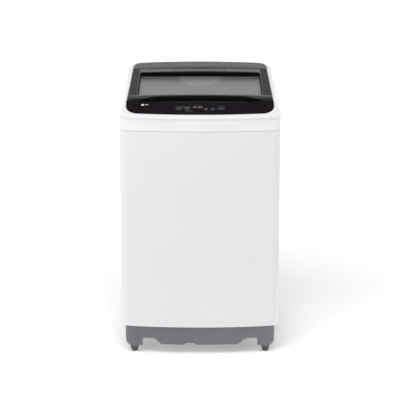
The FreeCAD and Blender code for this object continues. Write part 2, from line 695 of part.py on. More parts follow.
def rear_outline(inset, z):
    y0, y1 = REAR_COVER_Y[0] + inset, REAR_COVER_Y[1] - inset
    half, r = REAR_COVER_HALF - inset, 30.0 - inset
    d = r * (1 - math.sqrt(0.5))

    def p(x, y):
        return V(x, y, z)

    return Part.Wire([
        Part.makeLine(p(-half, y0), p(half, y0)),
        Part.makeLine(p(half, y0), p(half, y1 - r)),
        arc(p(half, y1 - r), p(half - d, y1 - d), p(half - r, y1)),
        Part.makeLine(p(half - r, y1), p(-half + r, y1)),
        arc(p(-half + r, y1), p(-half + d, y1 - d), p(-half, y1 - r)),
        Part.makeLine(p(-half, y1 - r), p(-half, y0)),
    ])


def is_rear_rim(edge):
    b = edge.BoundBox
    return b.ZMin > rear_z(b.YMin) - 0.6 and b.ZMax > REAR_COVER_Z - 5


# ---------------------------------------------------------------- detergent drawer and water inlet
DRAWER = {"x": (-72.0, 72.0), "y": (158.0, 246.0), "z": (820.0, 858.0)}


def drawer_cutout():
    x0, x1 = DRAWER["x"]
    z0, z1 = DRAWER["z"]
    return box(x0 - 3.6, x1 + 3.6, 100, 190, z0 - 3.3, z1 + 3.8)


def detergent_drawer():
    """Pull-out tray with powder and softener compartments."""
    (x0, x1), (y0, y1), (z0, z1) = DRAWER["x"], DRAWER["y"], DRAWER["z"]
    tray = rounded_block(x0 + 3, x1 - 3, y0 + 4, y1, 5, z0 + 3, z1 - 5)
    left = rounded_block(x0 + 5, 18, y0 + 7, y1 - 2, 4, z0 + 5, z1)
    right = rounded_block(20, x1 - 5, y0 + 7, y1 - 2, 4, z0 + 5, z1)
    front = rounded_block(x0, x1, y0 - 2, y0 + 4, 1.5, z0, z1)
    tray = fuse([tray, front])
    finger = rounded_block(-24, 24, z0 + 10, z1 - 10, 8, 0, 3.5)
    finger.rotate(V(0, 0, 0), X_AXIS, 90)
    finger.translate(V(0, y0 - 2 + 3.5, 0))
    return tray.cut([left, right, finger])


def drawer_housing():
    """Guide box behind the deck's wall that the drawer slides in, with the water inlet stub on its side."""
    (x0, x1), (y0, y1), (z0, z1) = DRAWER["x"], DRAWER["y"], DRAWER["z"]
    outer = box(x0 - 3.3, x1 + 3.3, 110, y1 + 6, z0 - 3, z1 + 3.5)
    inner = box(x0 - 0.8, x1 + 0.8, 100, y1 + 3, z0 - 0.8, z1 + 0.8)
    stub = cyl_x(7.0, x1 + 2, x1 + 16, INLET_Y, INLET_Z)
    bore = cyl_x(4.5, x1 - 5, x1 + 20, INLET_Y, INLET_Z)
    return fuse([outer.cut(inner), stub]).cut(bore).cut(funnel(0.0, MOUTH_Z, 900))


INLET_X, INLET_Y, INLET_Z = 150.0, 236.0, 842.0


def valve_cutout():
    return Part.makeCylinder(20.0, 30, V(INLET_X, 255, INLET_Z), Y_AXIS)


def inlet_valve():
    """Cold water valve: threaded spigot to the rear, solenoid and outlet."""
    spigot = Part.makeCylinder(13.2, 22, V(INLET_X, 247.5, INLET_Z), Y_AXIS)
    bore = Part.makeCylinder(9.0, 18, V(INLET_X, 252, INLET_Z), Y_AXIS)
    body = Part.makeCylinder(16.0, 20, V(INLET_X, 228, INLET_Z), Y_AXIS)
    coil = box(INLET_X - 14, INLET_X + 14, 206, 230, INLET_Z - 24, INLET_Z + 4)
    outlet = cyl_x(7.0, INLET_X - 44, INLET_X, INLET_Y, INLET_Z)
    return fuse([spigot, body, coil, outlet]).cut(bore)


def inlet_hose():
    """Short water hose from the valve to the drawer housing."""
    x0, x1 = DRAWER["x"][1] + 3.8, INLET_X - 20
    return cyl_x(9.5, x0, x1, INLET_Y, INLET_Z).cut(cyl_x(7.0, x0 - 1, x1 + 1, INLET_Y, INLET_Z))


def tube_path(points, radius):
    """Wire of straight runs joined by tangent arcs through the given corner points."""
    edges, start = [], points[0]
    for before, corner, after in zip(points, points[1:], points[2:]):
        a, b = (before - corner).normalize(), (after - corner).normalize()
        half = a.getAngle(b) / 2
        back = radius / math.tan(half)
        p, q = corner + a * back, corner + b * back
        middle = (a + b).normalize()
        centre = corner + middle * (radius / math.sin(half))
        m = centre - middle * radius
        edges.append(Part.makeLine(start, p))
        edges.append(arc(p, m, q))
        start = q
    edges.append(Part.makeLine(start, points[-1]))
    return Part.Wire(edges)


def tube(points, bend, outer, inner=0.0):
    """Round tube along corner points."""
    path = tube_path(points, bend)
    way = points[1] - points[0]

    def swept(radius):
        circle = Part.Wire([Part.makeCircle(radius, points[0], way)])
        return path.makePipeShell([circle], True, True)

    solid = swept(outer)
    return solid.cut(swept(inner)) if inner else solid


# ---------------------------------------------------------------- hanging rods and springs
def corner_brackets():
    """Steel gussets in the cabinet's upper corners that the rods hang from."""
    gussets = []
    for x, y in corners(*ROD_XY):
        sx, sy = (1 if x > 0 else -1), (1 if y > 0 else -1)
        out_y = 258 if sy > 0 else 240
        pts = [V(sx * 266, sy * out_y, 774), V(sx * 266, sy * 170, 774), V(sx * 178, sy * 205, 774),
               V(sx * 178, sy * out_y, 774)]
        plate = Part.Face(polygon(pts)).extrude(V(0, 0, 3))
        keep = bowed_prism(HALF_W - 2, FRONT_Y + 2, FRONT_BOW, 260, CORNER_R - 2, 8, 700, 800)
        gussets.append(plate.common(keep).cut(cyl(5, 760, 790, x, y)))
    return Part.Compound(gussets)


def hanging_rods():
    """Four steel rods with a ball head above and a seat below."""
    rods = []
    for x, y in corners(*ROD_XY):
        rods.append(revolve([(0, 226), (17, 226), (17, 230), (3.5, 230), (3.5, 777.2), (9, 777.2),
                             (7.5, 783), (0, 785)], x, y))
    return Part.Compound(rods)


def hanging_springs():
    """Coil springs between each rod's seat and the tub's cup."""
    springs = []
    turns, wire_r, coil_r, z0, z1 = 7, 1.8, 12.0, 233.2, 298.8
    for x, y in corners(*ROD_XY):
        helix = Part.makeHelix((z1 - z0) / turns, z1 - z0, coil_r)
        circle = Part.Wire([Part.makeCircle(wire_r, V(coil_r, 0, 0), V(0, 1, 0))])
        coil = Part.Wire(helix.Edges).makePipeShell([circle], True, True)
        coil.translate(V(x, y, z0))
        springs.append(coil)
    return Part.Compound(springs)


def hanging_cups():
    """Plastic damper cups between the springs and the tub's lugs."""
    cups = []
    for x, y in corners(*ROD_XY):
        cups.append(revolve([(4.0, 302), (19, 302), (19, 326), (10, 330), (4.0, 330)], x, y))
    return Part.Compound(cups)


# ---------------------------------------------------------------- tub
def outer_tub():
    """Water tub: drafted wall with ribs, sloping floor, four lugs and the drain boss."""
    r, t = TUB_R, 3.5
    wall = revolve([
        (40, TUB_FLOOR_Z - 4), (r - 14, TUB_FLOOR_Z), (r - 4, TUB_FLOOR_Z + 8), (r - 1, TUB_FLOOR_Z + 60),
        (r, TUB_TOP_Z - 8), (r + 4, TUB_TOP_Z - 8), (r + 4, TUB_TOP_Z), (r - t, TUB_TOP_Z),
        (r - 1 - t, TUB_FLOOR_Z + 60), (r - 4 - t, TUB_FLOOR_Z + 10), (r - 16, TUB_FLOOR_Z + 4),
        (40, TUB_FLOOR_Z),
    ])
    ribs = [ring(r + 2.5, r - 2, z, z + 3) for z in (420, 520, 620, 700)]
    lugs = []
    for x, y in corners(*ROD_XY):
        angle = math.degrees(math.atan2(y, x))
        arm = box(r - 8, math.hypot(x, y) + 4, -16, 16, 330.2, 338)
        arm.rotate(V(0, 0, 0), Z_AXIS, angle)
        lugs.append(fuse([arm, cyl(20, 330.2, 338, x, y)]))
    tub = fuse([wall] + ribs + lugs)
    keep_in = revolve([(0, 299.5), (r - 17.5, 299.5 + 1), (r - 7.6, TUB_FLOOR_Z + 12), (r - 4.6, TUB_FLOOR_Z + 61),
                       (r - 3.6, TUB_TOP_Z + 5), (0, TUB_TOP_Z + 5)])
    tub = tub.cut(keep_in)
    tub = tub.cut([cyl(6, 320, 345, x, y) for x, y in corners(*ROD_XY)])
    return tub.cut(cyl(15, 280, 310, *DRAIN_XY))


DRAIN_XY = (-130.0, 118.0)


def tub_cover():
    """Ring that closes the tub round the drum's mouth."""
    r = TUB_R
    return revolve([
        (r + 4, TUB_TOP_Z), (r + 4, TUB_TOP_Z + 3), (r - 20, TUB_TOP_Z + 12), (190, TUB_TOP_Z + 14),
        (182, TUB_TOP_Z + 14), (182, TUB_TOP_Z + 4), (185, TUB_TOP_Z + 4), (185, TUB_TOP_Z + 11),
        (r - 21, TUB_TOP_Z + 9), (r - 3.7, TUB_TOP_Z + 1), (r - 3.7, TUB_TOP_Z),
    ])


def bearing_housing():
    """Cast carrier bolted under the tub floor, with seats for both bearings and the seal."""
    hub = revolve([
        (27.5, 196), (66, 196), (66, 206), (40, 206), (40, 240), (46, 276), (118, 281), (118, 291.5),
        (27.5, 291.5), (27.5, 268), (22, 268), (22, 226), (27.5, 226),
    ])
    ribs = []
    for k in range(6):
        rib = prism_xz([(38, 236), (44, 236), (112, 276), (112, 282), (38, 282)], -3, 3)
        rib.rotate(V(0, 0, 0), Z_AXIS, 60 * k + 30)
        ribs.append(rib)
    return fuse([hub] + ribs)


def bearings():
    """Upper and lower shielded ball bearings of the spin tube."""
    return Part.Compound([bearing(268, 282), bearing(212, 226)])


def bearing(z0, z1):
    """Shielded ball bearing: both rings with the shields set in between them."""
    inner, outer = SPIN_TUBE_R + RUN, 27.5
    return revolve([
        (inner, z0), (21.0, z0), (21.0, z0 + 1), (24.2, z0 + 1), (24.2, z0), (outer, z0), (outer, z1), (24.2, z1),
        (24.2, z1 - 1), (21.0, z1 - 1), (21.0, z1), (inner, z1),
    ])


def shaft_seal():
    return revolve([(SPIN_TUBE_R + RUN, 283), (27.4, 283), (27.4, 291), (20, 291), (SPIN_TUBE_R + RUN, 287)])


STATOR_Z = (172.0, 192.0)
POLES = 24


def stator_core():
    """Laminated ring with pole shoes, bolted under the carrier."""
    z0, z1 = STATOR_Z
    parts = [ring(70, 58, z0, z1 + 3.8)]
    for k in range(POLES):
        neck = box(68, 96, -3, 3, z0, z1)
        shoe = box(95, 99, -10, 10, z0, z1)
        for piece in (neck, shoe):
            piece.rotate(V(0, 0, 0), Z_AXIS, 360 / POLES * k)
            parts.append(piece)
    return fuse(parts)


def stator_coils():
    """Copper windings round each pole."""
    z0, z1 = STATOR_Z
    coils = []
    for k in range(POLES):
        coil = rounded_block(73, 94, -6.2, 6.2, 2, z0 - 3, z1 + 3)
        coil = coil.cut(box(60, 100, -3.05, 3.05, z0 - 0.05, z1 + 0.05))
        coil.rotate(V(0, 0, 0), Z_AXIS, 360 / POLES * k)
        coils.append(coil)
    return Part.Compound(coils)


def drain_valve():
    """Drain valve under the tub floor with its side outlet and pull motor."""
    x, y = DRAIN_XY
    body = fuse([cyl(14.8, 286, 300.5, x, y), cyl(20, 246, 289, x, y),
                 Part.makeCylinder(13.5, 42, V(x, y + 10, 262), Y_AXIS)])
    body = body.cut(cyl(12, 270, 302, x, y))
    body = body.cut(Part.makeCylinder(10.5, 50, V(x, y, 262), Y_AXIS))
    motor = box(x - 62, x - 16, y - 16, y + 14, 250, 280)
    return fuse([body, motor])


DRAIN_OUT = (-150.0, 78.0)


def drain_bore(radius):
    return Part.makeCylinder(radius, 60, V(DRAIN_OUT[0], 230, DRAIN_OUT[1]), Y_AXIS)


def drain_outlet():
    """Spigot through the base's back where the outside drain hose plugs on."""
    x, z = DRAIN_OUT
    inside = Part.makeCylinder(10.5, 24, V(x, 222, z), Y_AXIS)
    outside = Part.makeCylinder(15.0, 24, V(x, 245, z), Y_AXIS)
    flange = Part.makeCylinder(20.0, 3, V(x, 244, z), Y_AXIS)
    flange = flange.cut(box(x - 30, x + 30, 240, 260, z + 17, z + 40))
    body = fuse([inside, outside, flange])
    bores = [Part.makeCylinder(8.5, 60, V(x, 220, z), Y_AXIS), Part.makeCylinder(12.0, 30, V(x, 250, z), Y_AXIS)]
    return body.cut(bores)


def drain_hose():
    """Short flexible hose from the drain valve down to the outlet."""
    x, y = DRAIN_XY
    xo, zo = DRAIN_OUT
    return tube([V(x, y + 34, 262), V(x, 196, 262), V(xo, 196, zo), V(xo, 232, zo)], 24.0, 16.5, 13.7)


# ---------------------------------------------------------------- drum, ring and shafts
def drum():
    """Stainless wash drum with pressed-in lower and upper hems."""
    z0, z1 = DRUM_Z
    r = DRUM_R
    return revolve([(r - 1, z0), (r, z0), (r, z1), (r - 1, z1)])


def drum_base():
    """Plastic floor of the drum with a dish for the pulsator."""
    return revolve([
        (20, 322), (212, 322), (219, 328), (219, 340), (222, 340), (222, 344.8), (218.9, 344.8), (218.9, 352),
        (214, 352), (196, 345), (184, 341), (181, 331), (20, 328),
    ])


def balance_ring():
    """Liquid balance ring round the drum's mouth."""
    return revolve([
        (RING_INNER_R + 6, 722), (218.6, 722), (218.6, 735.2), (223.5, 735.2), (223.5, 757), (219, 762),
        (RING_INNER_R + 8, 762), (RING_INNER_R, 755), (RING_INNER_R, 730),
    ])


def drum_flange():
    """Cast three-arm flange that ties the drum floor to the spin tube."""
    parts = [revolve([(SPIN_TUBE_R, 303), (34, 303), (40, 312), (60, 316), (60, 321.9), (SPIN_TUBE_R, 321.9)])]
    for k in range(3):
        arm = box(50, 196, -18, 18, 313, 321.9)
        arm.rotate(V(0, 0, 0), Z_AXIS, 120 * k + 90)
        parts.append(arm)
    return fuse(parts)


def spin_tube():
    bore = DRIVE_SHAFT_R + RUN
    return revolve([(bore, 184), (SPIN_TUBE_R, 184), (SPIN_TUBE_R, 325), (bore, 325)])


def lint_filters():
    """Two lint traps clipped to the drum wall."""
    traps = []
    for side in (-1, 1):
        frame = box(204, 215, -32, 32, 440, 610).cut(box(203.5, 212, -27, 27, 446, 604))
        ribs = [box(205, 207, -27, 27, z, z + 2) for z in range(456, 600, 12)]
        frame = fuse([frame] + ribs)
        frame = frame.common(cyl(218.6, 400, 700))
        if side < 0:
            frame.rotate(V(0, 0, 0), Z_AXIS, 180)
        traps.append(frame)
    return Part.Compound(traps)


def pulsator():
    """Low cone with six swept vanes and a central cap."""
    cone = revolve([(12, 334), (60, 334), (170, 337), (176, 341), (174, 345), (120, 349), (60, 356), (38, 362),
                    (32, 366), (12, 366)])
    vanes = []
    for k in range(6):
        vane = prism_xz([(30, 340), (166, 340), (164, 348), (120, 366), (70, 376), (36, 376), (30, 366)], -7, 7)
        vane = try_fillet(vane, (4.0, 2.0), lambda e: e.BoundBox.ZMin > 346 and e.BoundBox.YLength < 0.1)
        vane.rotate(V(0, 0, 0), Z_AXIS, 60 * k)
        vanes.append(vane)
    body = fuse([cone] + vanes)
    body = body.cut(cyl(DRIVE_SHAFT_R, 330, 352))
    return body.cut([cyl(12, 352, 380)])


def pulsator_cap():
    """Screw and cap that hold the pulsator on its shaft."""
    return revolve([(0, 346), (4, 346), (4, 353), (11.8, 353), (11.8, 372), (9, 377), (0, 379)])


def drive_shaft():
    return revolve([(0, 140), (7, 140), (8, 142), (8, 160), (DRIVE_SHAFT_R, 160), (DRIVE_SHAFT_R, 351.5), (4.2, 351.5),
                    (4.2, 345), (0, 345)])


def rotor():
    """Steel rotor cup with stamped vents."""
    cup = revolve([
        (8.0, 152), (24, 152), (24, 157), (114, 157), (118, 161), (118, 196), (115, 196), (115, 162), (112, 160),
        (26, 160), (26, 167.5), (18, 167.5), (18, 160), (8.0, 160),
    ])
    vents = []
    for k in range(12):
        vent = rounded_block(40, 98, -8, 8, 7, 150, 170)
        vent.rotate(V(0, 0, 0), Z_AXIS, 30 * k)
        vents.append(vent)
    return cup.cut(vents)


def rotor_magnets():
    magnets = []
    for k in range(POLES):
        a = math.radians(360 / POLES)
        band = ring(114.9, 103, 168, 195)
        gap = 0.01
        wedge = Part.Face(polygon([V(0, 0, 160), V(200 * math.cos(a * k + gap), 200 * math.sin(a * k + gap), 160),
                                   V(200 * math.cos(a * (k + 1) - gap), 200 * math.sin(a * (k + 1) - gap), 160)]))
        magnets.append(band.common(wedge.extrude(V(0, 0, 60))))
    return Part.Compound(magnets)


def clutch_slider():
    """Ring on the spin tube's foot that drops onto the rotor's hub to lock the drum to it for spinning."""
    bore = SPIN_TUBE_R + RUN
    return revolve([(bore, 184), (18.5, 176), (26, 176), (26, 180), (24, 180), (24, 194), (bore, 194)])


# ---------------------------------------------------------------- sensors and fasteners
def level_sensor():
    """Water level sensor on the right wall, with its tube port downwards."""
    can = cyl_x(22, 248, 268.8, 120, 700)
    port = cyl(3.5, 664, 682, 258, 120)
    return can.fuse(port).removeSplitter()


def back_screws():
    """Pan-head screws round the back panel."""
    screws = []
    spots = [(x, z) for x in (-252, 252) for z in (125, 340, 555, 765)]
    for x, z in spots:
        head = Part.makeCylinder(4.0, 2.2, V(x, 263, z), Y_AXIS)
        slot = box(x - 3, x + 3, 264.4, 266, z - 0.5, z + 0.5)
        screws.append(head.cut(slot))
    return Part.Compound(screws)


PARTS = {
    "base_frame": base_frame, "cabinet": cabinet, "back_panel": back_panel, "cable_gland": cable_gland,
    "top_cover": top_cover, "control_panel": control_panel, "display_window": display_window,
    "grip_liner": grip_liner, "control_housing": control_housing, "control_board": control_board,
    "lid_frame": lid_frame, "lid_window": lid_window, "lid_inner_frame": lid_inner_frame,
    "lid_bumpers": lid_bumpers, "lid_magnet": lid_magnet, "reed_switch": reed_switch,
    "hinge_pins": hinge_pins, "hinge_ears": hinge_ears, "rear_cover": rear_cover,
    "detergent_drawer": detergent_drawer, "drawer_housing": drawer_housing, "inlet_valve": inlet_valve,
    "inlet_hose": inlet_hose, "corner_brackets": corner_brackets, "hanging_rods": hanging_rods,
    "hanging_springs": hanging_springs, "hanging_cups": hanging_cups, "outer_tub": outer_tub,
    "tub_cover": tub_cover, "bearing_housing": bearing_housing, "bearings": bearings,
    "shaft_seal": shaft_seal, "clutch_slider": clutch_slider, "stator_core": stator_core,
    "stator_coils": stator_coils, "drain_valve": drain_valve, "drain_outlet": drain_outlet,
    "drain_hose": drain_hose, "drum": drum, "drum_base": drum_base, "balance_ring": balance_ring,
    "drum_flange": drum_flange, "spin_tube": spin_tube, "lint_filters": lint_filters, "pulsator": pulsator,
    "pulsator_cap": pulsator_cap, "drive_shaft": drive_shaft, "rotor": rotor,
    "rotor_magnets": rotor_magnets, "level_sensor": level_sensor, "back_screws": back_screws,
}


def main():
    shapes = {name: make() for name, make in PARTS.items()}
    for name in BUTTONS:
        shapes[name] = button(name)
    for label, (x, y) in zip(("front_left", "front_right", "rear_left", "rear_right"), corners(*FOOT_XY)):
        shapes["foot_" + label] = leveling_foot(x, y)
    for name, shape in shapes.items():
        solids = shape.Solids
        if not shape.isValid() or not solids or min(s.Volume for s in solids) <= 0:
            print("CHECK", name, shape.isValid(), len(solids))
        if len(solids) == 1:
            shape = solids[0]
        shape.exportStep("parts/" + name + ".step")


main()
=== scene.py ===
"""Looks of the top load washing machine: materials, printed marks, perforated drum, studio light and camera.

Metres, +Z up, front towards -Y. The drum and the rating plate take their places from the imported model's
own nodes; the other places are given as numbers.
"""

import json
import math

import bmesh
import bpy
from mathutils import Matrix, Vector


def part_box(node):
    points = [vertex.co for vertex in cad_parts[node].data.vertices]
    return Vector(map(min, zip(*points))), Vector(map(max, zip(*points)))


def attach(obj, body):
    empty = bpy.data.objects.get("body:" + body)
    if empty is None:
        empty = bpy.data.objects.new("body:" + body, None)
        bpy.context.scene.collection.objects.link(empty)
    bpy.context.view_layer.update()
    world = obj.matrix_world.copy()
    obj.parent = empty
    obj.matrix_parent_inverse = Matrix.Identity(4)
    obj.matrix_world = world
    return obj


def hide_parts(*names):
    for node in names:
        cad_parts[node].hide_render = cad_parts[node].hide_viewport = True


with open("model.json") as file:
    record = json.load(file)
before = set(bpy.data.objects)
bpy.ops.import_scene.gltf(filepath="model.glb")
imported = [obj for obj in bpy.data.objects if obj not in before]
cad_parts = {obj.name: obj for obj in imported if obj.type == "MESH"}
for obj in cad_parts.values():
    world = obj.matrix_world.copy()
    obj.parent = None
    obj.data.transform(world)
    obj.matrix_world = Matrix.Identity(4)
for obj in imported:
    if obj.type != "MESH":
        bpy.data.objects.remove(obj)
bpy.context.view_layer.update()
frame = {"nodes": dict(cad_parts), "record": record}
NODES = frame["nodes"]
MM = 0.001

PANEL_SLOPE = 0.375          # rise of the control panel per unit of depth
PANEL_TILT = math.atan(PANEL_SLOPE)
PANEL_EDGE = (-0.254, 0.846)  # y and z of the panel's front edge at its sides
PANEL_HALF, PANEL_CROWN = 0.248, 0.005
LID_EDGE = (-0.165, 0.8897)   # y and z of the lid's front corners
LID_SLOPE = 0.055
LID_FRONT_CROWN, LID_REAR_CROWN, LID_LENGTH = 0.0015, 0.0065, 0.360


# ---------------------------------------------------------------- camera, light and floor
def make_camera():
    """Camera at the height and distance of a product shot, turned slightly down."""
    distance, height, pitch, lens, shift = 5.5, 2.1096, math.radians(15.80), 146.2, -0.05
    data = bpy.data.cameras.new("camera")
    data.sensor_width = 36.0
    data.lens = lens
    data.shift_y = shift
    data.clip_end = 50.0
    camera = bpy.data.objects.new("camera", data)
    camera.location = (0.0, -distance, height)
    camera.rotation_euler = (math.pi / 2 - pitch, 0.0, 0.0)
    bpy.context.scene.collection.objects.link(camera)
    bpy.context.scene.camera = camera


def area_light(name, place, target, size, power, tint=(1.0, 1.0, 1.0)):
    data = bpy.data.lights.new(name, "AREA")
    data.shape = "RECTANGLE"
    data.size, data.size_y = size
    data.energy = power
    data.color = tint
    lamp = bpy.data.objects.new(name, data)
    lamp.location = place
    lamp.rotation_euler = (Vector(target) - Vector(place)).to_track_quat("-Z", "Y").to_euler()
    bpy.context.scene.collection.objects.link(lamp)
    return lamp


def make_studio():
    """White sweep, a dim room above it, one box over the front, two before it and one at each side."""
    world = bpy.data.worlds.new("studio")
    world.use_nodes = True
    background = world.node_tree.nodes["Background"]
    background.inputs["Color"].default_value = (1.0, 1.0, 1.0, 1.0)
    background.inputs["Strength"].default_value = 0.09
    bpy.context.scene.world = world
    middle = (0.0, 0.0, 0.5)
    area_light("overhead", (-0.3, -1.3, 3.2), (0.0, 0.0, 0.9), (2.2, 1.6), 58.0)
    area_light("front_left", (-2.6, -3.4, 2.5), middle, (1.8, 2.2), 43.0)
    area_light("front_right", (2.8, -3.0, 2.1), middle, (1.4, 2.0), 13.0, (0.985, 0.99, 1.0))
    area_light("side_left", (-2.6, -0.5, 1.3), middle, (1.2, 2.0), 15.0)
    area_light("side_right", (2.6, -0.5, 1.3), middle, (1.2, 2.0), 20.0)
    make_sweep()


def make_sweep():
    """Floor that curves up into a backdrop behind the machine."""
    depth, radius, rise, half = 3.0, 1.2, 4.5, 16.0
    line = [(-22.0, 0.0), (depth, 0.0)]
    steps = 16
    for k in range(1, steps + 1):
        turn = math.pi / 2 * k / steps
        line.append((depth + radius * math.sin(turn), radius * (1 - math.cos(turn))))
    line.append((depth + radius, rise))
    verts = [(x, y, z) for y, z in line for x in (-half, half)]
    faces = [(2 * i, 2 * i + 1, 2 * i + 3, 2 * i + 2) for i in range(len(line) - 1)]
    mesh = bpy.data.meshes.new("sweep")
    mesh.from_pydata(verts, [], faces)
    for face in mesh.polygons:
        face.use_smooth = True
    sweep = bpy.data.objects.new("sweep", mesh)
    bpy.context.scene.collection.objects.link(sweep)
    mesh.materials.append(backdrop_material())


def render_settings():
    scene = bpy.context.scene
    scene.view_settings.view_transform = "Standard"
    scene.view_settings.look = "None"
    scene.view_settings.exposure = 0.0
    scene.cycles.max_bounces = 10
    scene.cycles.transparent_max_bounces = 12


# ---------------------------------------------------------------- material toolkit
class Surface:
    """One material: a Principled shader with helpers for the nodes that feed it."""

    def __init__(self, name, roughness, metallic=0.0, **inputs):
        self.material = bpy.data.materials.new(name)
        self.material.use_nodes = True
        self.tree = self.material.node_tree
        self.shader = self.tree.nodes["Principled BSDF"]
        self.set("Roughness", roughness)
        self.set("Metallic", metallic)
        for key, value in inputs.items():
            self.set(key.replace("_", " "), value)
        self.place = self.tree.nodes.new("ShaderNodeTexCoord").outputs["Object"]
        self.height = None

    def set(self, name, value):
        self.shader.inputs[name].default_value = value

    def link(self, output, target):
        self.tree.links.new(output, target)

    def stretched(self, scale):
        node = self.tree.nodes.new("ShaderNodeMapping")
        node.inputs["Scale"].default_value = scale
        self.link(self.place, node.inputs["Vector"])
        return node.outputs["Vector"]

    def axis(self, name, scale=1.0, offset=0.0, absolute=False):
        """One object coordinate, times a scale, plus an offset; the sign can be dropped first."""
        split = self.tree.nodes.new("ShaderNodeSeparateXYZ")
        self.link(self.place, split.inputs["Vector"])
        source = split.outputs[name]
        if absolute:
            size = self.tree.nodes.new("ShaderNodeMath")
            size.operation = "ABSOLUTE"
            self.link(source, size.inputs[0])
            source = size.outputs["Value"]
        node = self.tree.nodes.new("ShaderNodeMath")
        node.operation = "MULTIPLY_ADD"
        node.inputs[1].default_value, node.inputs[2].default_value = scale, offset
        self.link(source, node.inputs[0])
        return node.outputs["Value"]

    def both(self, first, second):
        node = self.tree.nodes.new("ShaderNodeMath")
        node.operation = "MULTIPLY"
        self.link(first, node.inputs[0])
        self.link(second, node.inputs[1])
        return node.outputs["Value"]

    def noise(self, scale, detail=3.0, stretch=None, rough=0.5):
        node = self.tree.nodes.new("ShaderNodeTexNoise")
        node.inputs["Scale"].default_value = scale
        node.inputs["Detail"].default_value = detail
        node.inputs["Roughness"].default_value = rough
        self.link(self.stretched(stretch) if stretch else self.place, node.inputs["Vector"])
        return node.outputs["Fac"]

    def cells(self, scale):
        node = self.tree.nodes.new("ShaderNodeTexVoronoi")
        node.inputs["Scale"].default_value = scale
        self.link(self.place, node.inputs["Vector"])
        return node.outputs["Distance"]

    def ramp(self, source, low, high, start=0.3, end=0.7):
        """Maps source to a colour or a value between low and high."""
        node = self.tree.nodes.new("ShaderNodeValToRGB")
        first, last = node.color_ramp.elements
        first.position, last.position = start, end
        first.color = grey(low)
        last.color = grey(high)
        self.link(source, node.inputs["Fac"])
        return node.outputs["Color"]

    def colour(self, low, high, scale=6.0, detail=4.0, stretch=None):
        """Slow variation of the base colour between two shades."""
        shades = self.ramp(self.noise(scale, detail, stretch), low, high)
        self.link(shades, self.shader.inputs["Base Color"])
        return self

    def gloss(self, low, high, scale=40.0, stretch=None):
        """Roughness that wanders between two values, as handled and cleaned surfaces have."""
        self.link(self.ramp(self.noise(scale, 4.0, stretch), low, high), self.shader.inputs["Roughness"])
        return self

    def bump(self, source, strength, depth):
        node = self.tree.nodes.new("ShaderNodeBump")
        node.inputs["Strength"].default_value = strength
        node.inputs["Distance"].default_value = depth
        self.link(source, node.inputs["Height"])
        if self.height:
            self.link(self.height, node.inputs["Normal"])
        self.height = node.outputs["Normal"]
        self.link(self.height, self.shader.inputs["Normal"])
        return self


def grey(value):
    """A number or a colour as RGBA."""
    rgb = (value, value, value) if isinstance(value, (int, float)) else value
    return (*rgb, 1.0)


def backdrop_material():
    """Matt white paper with painted light: an emission glow, weak on the floor and stronger up the backdrop,
    that also lightens the floor's shadows.
    """
    surface = Surface("backdrop", 0.9, Specular_IOR_Level=0.0).colour(0.86, 0.88, 0.6)
    surface.set("Emission Strength", 1.0)
    # painted light: the paper glows, weakly on the floor and more strongly towards the back
    glow = surface.ramp(surface.axis("Y", 0.25, 0.0), 0.32, 0.66, 0.1, 0.7)
    surface.link(glow, surface.shader.inputs["Emission Color"])
    return surface.material


def moulded(name, low, high, roughness, grain=0.00006, grain_scale=900.0, coat=0.0):
    """Moulded plastic with a fine spark-eroded grain."""
    surface = Surface(name, roughness, Coat_Weight=coat, Coat_Roughness=0.12)
    surface.colour(low, high, 5.0)
    surface.gloss(roughness * 0.88, roughness * 1.12, 60.0)
    surface.bump(surface.noise(grain_scale, 2.0), 0.5, grain)
    return surface


def lid_plastic(name):
    """Charcoal plastic, satin on the front and rear rails and matt on the two side rails."""
    surface = moulded(name, (0.014, 0.014, 0.015), (0.021, 0.021, 0.022), 0.40, 0.00009, 1100.0)
    beside = surface.ramp(surface.axis("X", 1.0, 0.0, True), 0.0, 1.0, 0.2110, 0.2135)
    behind = surface.ramp(surface.axis("Y", 1.0, 0.5), 0.0, 1.0, 0.350, 0.358)
    shine = surface.ramp(surface.both(beside, behind), 0.36, 0.02, 0.0, 1.0)
    surface.link(shine, surface.shader.inputs["Specular IOR Level"])
    return surface


def enamel(name, low, high):
    """Baked enamel on sheet steel: slight orange peel under a clear gloss."""
    surface = Surface(name, 0.32, Coat_Weight=0.12, Coat_Roughness=0.16)
    surface.colour(low, high, 2.2)
    surface.gloss(0.29, 0.35, 30.0)
    surface.bump(surface.noise(160.0, 2.0), 0.07, 0.00010)
    surface.bump(surface.noise(1400.0, 1.0), 0.10, 0.00002)
    return surface


def steel(name, low, high, roughness, stretch, metallic=1.0):
    """Metal with fine lines along one direction, from brushing, rolling or turning."""
    surface = Surface(name, roughness, metallic)
    surface.colour(low, high, 30.0, 6.0, stretch)
    surface.gloss(roughness * 0.8, roughness * 1.25, 60.0, stretch)
    surface.bump(surface.noise(220.0, 5.0, stretch), 0.35, 0.00004)
    return surface


def galvanised(name):
    """Zinc-coated sheet with faint spangle."""
    surface = Surface(name, 0.42, 1.0)
    spangle = surface.ramp(surface.cells(110.0), 0.56, 0.66, 0.0, 0.8)
    surface.link(spangle, surface.shader.inputs["Base Color"])
    surface.gloss(0.34, 0.52, 70.0)
    surface.bump(surface.noise(300.0, 3.0), 0.2, 0.00003)
    return surface


def rubber(name, low, high, shine=0.35):
    surface = Surface(name, 0.75, Specular_IOR_Level=shine)
    surface.colour(low, high, 25.0)
    surface.gloss(0.65, 0.85, 120.0)
    surface.bump(surface.noise(700.0, 3.0), 0.5, 0.00008)
    return surface


def black_gloss(name):
    """Polished black fascia with a trace of plum in it and hairline wipe marks."""
    surface = Surface(name, 0.14, Coat_Weight=0.08, Coat_Roughness=0.05, Specular_IOR_Level=0.30)
    surface.colour((0.006, 0.004, 0.007), (0.010, 0.007, 0.010), 7.0)
    surface.gloss(0.10, 0.2, 18.0, (1.0, 6.0, 6.0))
    surface.bump(surface.noise(90.0, 6.0, (1.0, 14.0, 14.0), 0.7), 0.06, 0.00002)
    return surface


